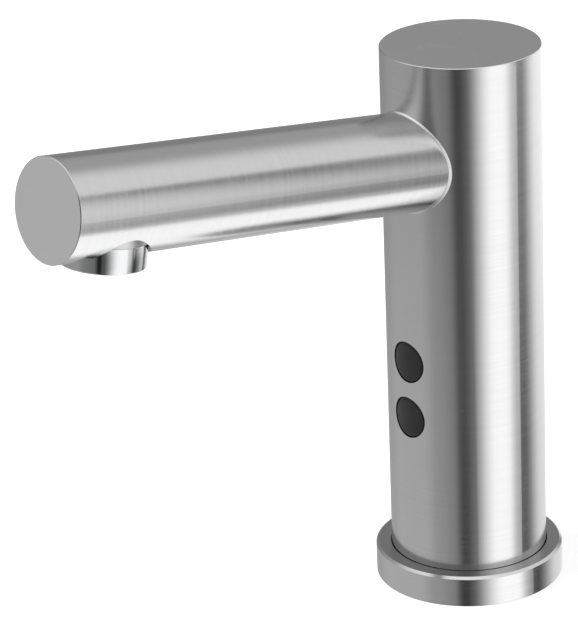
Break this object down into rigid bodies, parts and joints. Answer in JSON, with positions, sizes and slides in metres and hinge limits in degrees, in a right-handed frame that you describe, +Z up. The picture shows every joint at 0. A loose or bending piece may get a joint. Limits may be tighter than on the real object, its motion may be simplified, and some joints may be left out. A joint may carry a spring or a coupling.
{
  "type": "sensor tap",
  "caption": "Deck-mounted sensor tap: upright round steel body on a flange, slightly rising round spout with an aerator, and round infrared windows low on the front.",
  "frame": {"origin": "centre of the foot, on the deck plane and on the body's axis", "axes": "+Z up along the body; -Y forward, the way the spout points"},
  "size_m": [0.061, 0.1938, 0.1837],
  "materials": {
    "brushed_steel": "satin brushed stainless",
    "chrome": "polished chrome plate",
    "brass": "turned brass",
    "window": "dark infrared window, gloss",
    "black_plastic": "moulded, matt",
    "white_plastic": "acetal, matt",
    "rubber": "moulded rubber, matt",
    "copper": "enamelled copper wire",
    "spring_steel": "drawn spring wire",
    "board": "lacquered circuit board",
    "screw_steel": "plain stainless screws"
  },
  "bodies": {
    "tap_body": {"body_tube": "brushed_steel", "top_cap": "brushed_steel", "spout_end_cap": "brushed_steel", "spout_tube": "brushed_steel", "weld_bead": "brushed_steel", "flange_ring": "brushed_steel", "flange_oring": "rubber", "base_plug": "brass", "plug_oring": "rubber", "foot_gasket": "rubber", "body_screws": "screw_steel", "cable_grommet": "rubber", "inlet_strainer": "brushed_steel", "check_valve_body": "white_plastic", "check_spring": "spring_steel", "inlet_seal": "rubber", "valve_body": "brass", "diaphragm": "rubber", "bonnet": "black_plastic", "valve_screws": "screw_steel", "armature_tube": "brushed_steel", "plunger_spring": "spring_steel", "fixed_core": "brushed_steel", "coil_bobbin": "black_plastic", "coil_winding": "copper", "yoke": "brushed_steel", "coil_nut": "brass", "water_tube": "brushed_steel", "solenoid_lead": "black_plastic", "outlet_bush": "brass", "upper_window": "window", "lower_window": "window", "upper_gasket": "rubber", "lower_gasket": "rubber", "sensor_housing": "black_plastic", "circuit_board": "board", "sensor_cover": "black_plastic", "cover_screws": "screw_steel", "ir_emitter": "window", "ir_receiver": "window", "sensor_studs": "screw_steel", "sensor_nuts": "screw_steel"},
    "plunger": {"plunger": "brushed_steel", "plunger_seal": "rubber"},
    "diaphragm_centre": {"diaphragm_insert": "white_plastic"},
    "check_valve": {"check_poppet": "white_plastic"},
    "aerator_core": {"aerator_insert": "white_plastic", "aerator_screen": "white_plastic", "aerator_washer": "rubber"},
    "aerator_ring": {"aerator_housing": "chrome"}
  },
  "joints": [
    {"name": "plunger_lift", "type": "slide", "parent": "tap_body", "child": "plunger", "axis": [0, 0, 1], "range_m": [0, 0.002], "stiffness_N_per_m": 300, "springref_m": -0.004, "deforming": ["plunger_spring"]},
    {"name": "diaphragm_lift", "type": "slide", "parent": "tap_body", "child": "diaphragm_centre", "axis": [0, 0, 1], "range_m": [0, 0.0015]},
    {"name": "check_valve_lift", "type": "slide", "parent": "tap_body", "child": "check_valve", "axis": [0, 0, 1], "range_m": [0, 0.002], "stiffness_N_per_m": 120, "springref_m": -0.003, "deforming": ["check_spring"]},
    {"name": "aerator_drop", "type": "slide", "parent": "tap_body", "child": "aerator_core", "axis": [0, -0.1495, -0.9888], "range_m": [0, 0.005]},
    {"name": "aerator_turn", "type": "hinge", "parent": "aerator_core", "child": "aerator_ring", "pos_m": [0, -0.13981, 0.16484], "axis": [0, -0.1495, -0.9888], "range_deg": [0, 1798]}
  ],
  "couplings": [
    {"joint": "diaphragm_lift", "follows": "plunger_lift", "ratio": 0.75},
    {"joint": "aerator_drop", "follows": "aerator_turn", "m_per_rad": 0.00015915}
  ]
}
